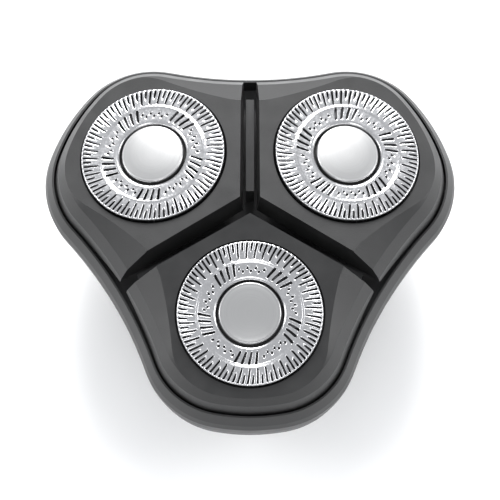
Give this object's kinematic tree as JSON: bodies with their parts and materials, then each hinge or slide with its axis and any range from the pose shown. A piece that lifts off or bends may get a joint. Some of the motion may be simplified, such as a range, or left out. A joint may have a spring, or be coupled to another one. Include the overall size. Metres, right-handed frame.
{
  "type": "rotary shaver head unit",
  "caption": "Three-lobed shaving head with tilting heads, floating slotted guards, spinning cutters, gear train and a coupling neck for a shaver handle.",
  "frame": {"origin": "on the axis of the coupling neck, at its open face", "axes": "+Z from the neck to the guards, -Y towards the single front lobe, the hinge at +Y"},
  "size_m": [0.0654, 0.0608, 0.0326],
  "materials": {
    "cap_metal": "spun satin metal",
    "guard_steel": "ground steel, bright",
    "blade_steel": "ground steel",
    "holder_plastic": "fine textured dark grey",
    "inner_plastic": "smooth dark grey",
    "pin_steel": "plain steel",
    "spring_steel": "drawn wire",
    "gear_plastic": "natural acetal",
    "spindle_plastic": "natural nylon",
    "bush_brass": "turned",
    "seal_rubber": "soft black",
    "skirt_plastic": "fine textured dark grey",
    "frame_plastic": "fine textured dark grey",
    "button_plastic": "smooth grey",
    "base_plastic": "fine textured dark grey"
  },
  "bodies": {
    "base": {"base_shell": "base_plastic", "seal_ring": "seal_rubber", "coupling_ring": "inner_plastic", "gear_plate": "inner_plastic", "plate_screws": "pin_steel", "drive_bush": "bush_brass", "gear_axle_1": "pin_steel", "gear_axle_2": "pin_steel", "gear_axle_3": "pin_steel", "hinge_pin": "pin_steel", "button_spring_1": "spring_steel", "button_spring_2": "spring_steel"},
    "lid": {"skirt": "skirt_plastic", "spider_frame": "frame_plastic", "tilt_pins_1": "pin_steel", "tilt_pins_2": "pin_steel", "tilt_pins_3": "pin_steel", "tilt_spring_1": "spring_steel", "tilt_spring_2": "spring_steel", "tilt_spring_3": "spring_steel"},
    "drive": {"drive_gear": "gear_plastic"},
    "button_1": {"release_button_1": "button_plastic"},
    "button_2": {"release_button_2": "button_plastic"},
    "gear_1": {"head_gear_1": "gear_plastic", "spindle_spring_1": "spring_steel"},
    "spindle_1": {"drive_spindle_1": "spindle_plastic"},
    "holder_1": {"head_holder_1": "holder_plastic", "retaining_frame_1": "inner_plastic"},
    "float_1": {"guard_1": "guard_steel", "guard_cap_1": "cap_metal"},
    "blades_1": {"cutter_1": "blade_steel"},
    "gear_2": {"head_gear_2": "gear_plastic", "spindle_spring_2": "spring_steel"},
    "spindle_2": {"drive_spindle_2": "spindle_plastic"},
    "holder_2": {"head_holder_2": "holder_plastic", "retaining_frame_2": "inner_plastic"},
    "float_2": {"guard_2": "guard_steel", "guard_cap_2": "cap_metal"},
    "blades_2": {"cutter_2": "blade_steel"},
    "gear_3": {"head_gear_3": "gear_plastic", "spindle_spring_3": "spring_steel"},
    "spindle_3": {"drive_spindle_3": "spindle_plastic"},
    "holder_3": {"head_holder_3": "holder_plastic", "retaining_frame_3": "inner_plastic"},
    "float_3": {"guard_3": "guard_steel", "guard_cap_3": "cap_metal"},
    "blades_3": {"cutter_3": "blade_steel"}
  },
  "joints": [
    {"name": "lid_hinge", "type": "hinge", "parent": "base", "child": "lid", "pos_m": [0, 0.0256, 0.014], "axis": [-1, 0, 0], "range_deg": [0, 100]},
    {"name": "drive_spin", "type": "hinge", "parent": "base", "child": "drive", "pos_m": [0, 0, 0.01], "axis": [0, 0, 1], "continuous": true},
    {"name": "button_1_push", "type": "slide", "parent": "base", "child": "button_1", "axis": [0.866, 0.5, 0], "range_m": [0, 0.0012], "stiffness_N_per_m": 300, "deforming": ["button_spring_1"]},
    {"name": "button_2_push", "type": "slide", "parent": "base", "child": "button_2", "axis": [-0.866, 0.5, 0], "range_m": [0, 0.0012], "stiffness_N_per_m": 300, "deforming": ["button_spring_2"]},
    {"name": "head_1_tilt", "type": "hinge", "parent": "lid", "child": "holder_1", "pos_m": [0, -0.017, 0.0225], "axis": [1, 0, 0], "range_deg": [-4, 4], "stiffness_Nm_per_rad": 0.05, "deforming": ["tilt_spring_1"]},
    {"name": "guard_1_float", "type": "slide", "parent": "holder_1", "child": "float_1", "axis": [0, 0.1736, -0.9848], "range_m": [0, 0.001], "stiffness_N_per_m": 400},
    {"name": "cutter_1_spin", "type": "hinge", "parent": "float_1", "child": "blades_1", "pos_m": [0, -0.0178, 0.03055], "axis": [0, -0.1736, 0.9848], "continuous": true},
    {"name": "gear_1_spin", "type": "hinge", "parent": "base", "child": "gear_1", "pos_m": [0, -0.017, 0.0115], "axis": [0, 0, 1], "continuous": true},
    {"name": "spindle_1_slide", "type": "slide", "parent": "gear_1", "child": "spindle_1", "axis": [0, 0, -1], "range_m": [0, 0.001], "stiffness_N_per_m": 400, "deforming": ["spindle_spring_1"]},
    {"name": "head_2_tilt", "type": "hinge", "parent": "lid", "child": "holder_2", "pos_m": [0.01472, 0.0085, 0.0225], "axis": [-0.5, 0.866, 0], "range_deg": [-4, 4], "stiffness_Nm_per_rad": 0.05, "deforming": ["tilt_spring_2"]},
    {"name": "guard_2_float", "type": "slide", "parent": "holder_2", "child": "float_2", "axis": [-0.1504, -0.0868, -0.9848], "range_m": [0, 0.001], "stiffness_N_per_m": 400},
    {"name": "cutter_2_spin", "type": "hinge", "parent": "float_2", "child": "blades_2", "pos_m": [0.01542, 0.0089, 0.03055], "axis": [0.1504, 0.0868, 0.9848], "continuous": true},
    {"name": "gear_2_spin", "type": "hinge", "parent": "base", "child": "gear_2", "pos_m": [0.01472, 0.0085, 0.0115], "axis": [0, 0, 1], "continuous": true},
    {"name": "spindle_2_slide", "type": "slide", "parent": "gear_2", "child": "spindle_2", "axis": [0, 0, -1], "range_m": [0, 0.001], "stiffness_N_per_m": 400, "deforming": ["spindle_spring_2"]},
    {"name": "head_3_tilt", "type": "hinge", "parent": "lid", "child": "holder_3", "pos_m": [-0.01472, 0.0085, 0.0225], "axis": [-0.5, -0.866, 0], "range_deg": [-4, 4], "stiffness_Nm_per_rad": 0.05, "deforming": ["tilt_spring_3"]},
    {"name": "guard_3_float", "type": "slide", "parent": "holder_3", "child": "float_3", "axis": [0.1504, -0.0868, -0.9848], "range_m": [0, 0.001], "stiffness_N_per_m": 400},
    {"name": "cutter_3_spin", "type": "hinge", "parent": "float_3", "child": "blades_3", "pos_m": [-0.01542, 0.0089, 0.03055], "axis": [-0.1504, 0.0868, 0.9848], "continuous": true},
    {"name": "gear_3_spin", "type": "hinge", "parent": "base", "child": "gear_3", "pos_m": [-0.01472, 0.0085, 0.0115], "axis": [0, 0, 1], "continuous": true},
    {"name": "spindle_3_slide", "type": "slide", "parent": "gear_3", "child": "spindle_3", "axis": [0, 0, -1], "range_m": [0, 0.001], "stiffness_N_per_m": 400, "deforming": ["spindle_spring_3"]}
  ],
  "couplings": [
    {"joint": "gear_1_spin", "follows": "drive_spin", "ratio": -0.5},
    {"joint": "cutter_1_spin", "follows": "drive_spin", "ratio": -0.5},
    {"joint": "spindle_1_slide", "follows": "guard_1_float", "ratio": 1},
    {"joint": "gear_2_spin", "follows": "drive_spin", "ratio": -0.5},
    {"joint": "cutter_2_spin", "follows": "drive_spin", "ratio": -0.5},
    {"joint": "spindle_2_slide", "follows": "guard_2_float", "ratio": 1},
    {"joint": "gear_3_spin", "follows": "drive_spin", "ratio": -0.5},
    {"joint": "cutter_3_spin", "follows": "drive_spin", "ratio": -0.5},
    {"joint": "spindle_3_slide", "follows": "guard_3_float", "ratio": 1}
  ]
}
